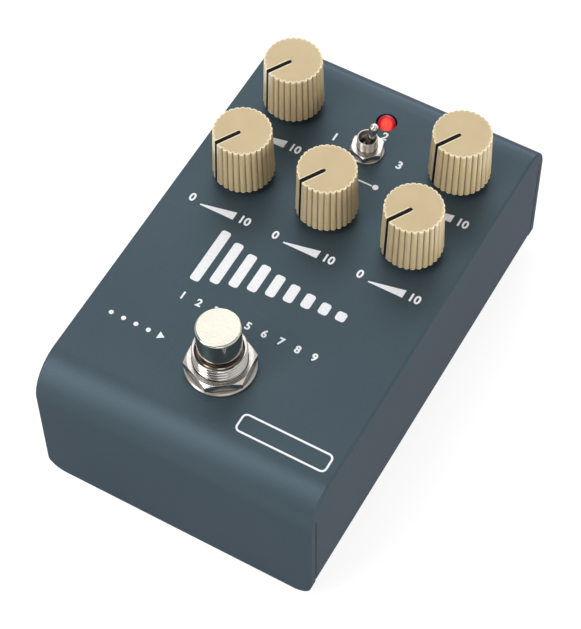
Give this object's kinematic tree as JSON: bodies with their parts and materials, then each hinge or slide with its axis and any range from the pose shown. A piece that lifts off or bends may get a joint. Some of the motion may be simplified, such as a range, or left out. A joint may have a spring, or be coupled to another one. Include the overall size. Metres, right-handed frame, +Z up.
{
  "type": "delay pedal",
  "caption": "Compact guitar delay pedal: a folded sheet-metal case with ribbed pointer knobs, a toggle switch, a status lamp, a press-down footswitch and rear sockets.",
  "frame": {"origin": "on the floor under the feet, at the middle of the part's box in plan", "axes": "+Z up, +Y from the front wall to the rear wall with the sockets, +X to the right of someone who faces the front wall"},
  "size_m": [0.0676, 0.1122, 0.0551],
  "materials": {
    "case_paint": "satin dark slate finish",
    "plate_paint": "satin dark finish",
    "screw_steel": "plain",
    "foot_rubber": "matt",
    "knob_cream": "semi-gloss moulded",
    "pointer_black": "matt fill",
    "shaft_metal": "turned",
    "nickel": "bright nickel plate",
    "pot_case": "moulded",
    "toggle_case": "moulded",
    "switch_case": "moulded",
    "spring_steel": "drawn wire",
    "contact_brass": "plated",
    "lead_insulation": "smooth",
    "lamp_red": "clear tinted, lit",
    "spacer_black": "moulded",
    "socket_black": "moulded",
    "board_green": "solder mask",
    "chip_black": "moulded",
    "capacitor_can": "sleeved can"
  },
  "bodies": {
    "case": {"case_shell": "case_paint", "bottom_plate": "plate_paint", "bottom_screws": "screw_steel", "rubber_feet": "foot_rubber", "pot_rear_left": "pot_case", "pot_rear_right": "pot_case", "pot_front_left": "pot_case", "pot_front_middle": "pot_case", "pot_front_right": "pot_case", "pot_nuts": "nickel", "pot_washers": "nickel", "toggle_bushing": "nickel", "toggle_nut": "nickel", "toggle_washer": "nickel", "toggle_body": "toggle_case", "footswitch_bushing": "nickel", "footswitch_nut": "nickel", "footswitch_washer": "nickel", "footswitch_inner_nut": "nickel", "footswitch_body": "switch_case", "footswitch_spring": "spring_steel", "footswitch_lugs": "contact_brass", "switch_lead": "lead_insulation", "lamp_lens": "lamp_red", "lamp_spacer": "spacer_black", "input_jack": "socket_black", "output_left_jack": "socket_black", "output_right_jack": "socket_black", "jack_nuts": "nickel", "jack_washers": "nickel", "jack_contacts": "contact_brass", "power_inlet": "socket_black", "power_inlet_pin": "contact_brass", "main_board": "board_green", "jack_board": "board_green", "processor_chip": "chip_black", "signal_chips": "chip_black", "filter_capacitors": "capacitor_can", "board_header": "spacer_black", "board_header_pins": "contact_brass"},
    "rear_left_control": {"knob_rear_left": "knob_cream", "pointer_rear_left": "pointer_black", "shaft_rear_left": "shaft_metal"},
    "rear_right_control": {"knob_rear_right": "knob_cream", "pointer_rear_right": "pointer_black", "shaft_rear_right": "shaft_metal"},
    "front_left_control": {"knob_front_left": "knob_cream", "pointer_front_left": "pointer_black", "shaft_front_left": "shaft_metal"},
    "front_middle_control": {"knob_front_middle": "knob_cream", "pointer_front_middle": "pointer_black", "shaft_front_middle": "shaft_metal"},
    "front_right_control": {"knob_front_right": "knob_cream", "pointer_front_right": "pointer_black", "shaft_front_right": "shaft_metal"},
    "toggle": {"toggle_lever": "nickel"},
    "footswitch": {"footswitch_cap": "nickel"}
  },
  "joints": [
    {"name": "rear_left_turn", "type": "hinge", "parent": "case", "child": "rear_left_control", "pos_m": [-0.0211, 0.0342, 0.0398], "axis": [0, 0, -1], "range_deg": [0, 300]},
    {"name": "rear_right_turn", "type": "hinge", "parent": "case", "child": "rear_right_control", "pos_m": [0.0211, 0.0342, 0.0398], "axis": [0, 0, -1], "range_deg": [0, 300]},
    {"name": "front_left_turn", "type": "hinge", "parent": "case", "child": "front_left_control", "pos_m": [-0.0211, 0.0116, 0.0398], "axis": [0, 0, -1], "range_deg": [0, 300]},
    {"name": "front_middle_turn", "type": "hinge", "parent": "case", "child": "front_middle_control", "pos_m": [0, 0.0116, 0.0398], "axis": [0, 0, -1], "range_deg": [0, 300]},
    {"name": "front_right_turn", "type": "hinge", "parent": "case", "child": "front_right_control", "pos_m": [0.0211, 0.0116, 0.0398], "axis": [0, 0, -1], "range_deg": [0, 300]},
    {"name": "toggle_throw", "type": "hinge", "parent": "case", "child": "toggle", "pos_m": [0, 0.0302, 0.0413], "axis": [0, 1, 0], "range_deg": [-22, 0]},
    {"name": "footswitch_press", "type": "slide", "parent": "case", "child": "footswitch", "axis": [0, 0, -1], "range_m": [0, 0.0024], "stiffness_N_per_m": 3000, "springref_m": -0.003, "deforming": ["footswitch_spring"]}
  ]
}
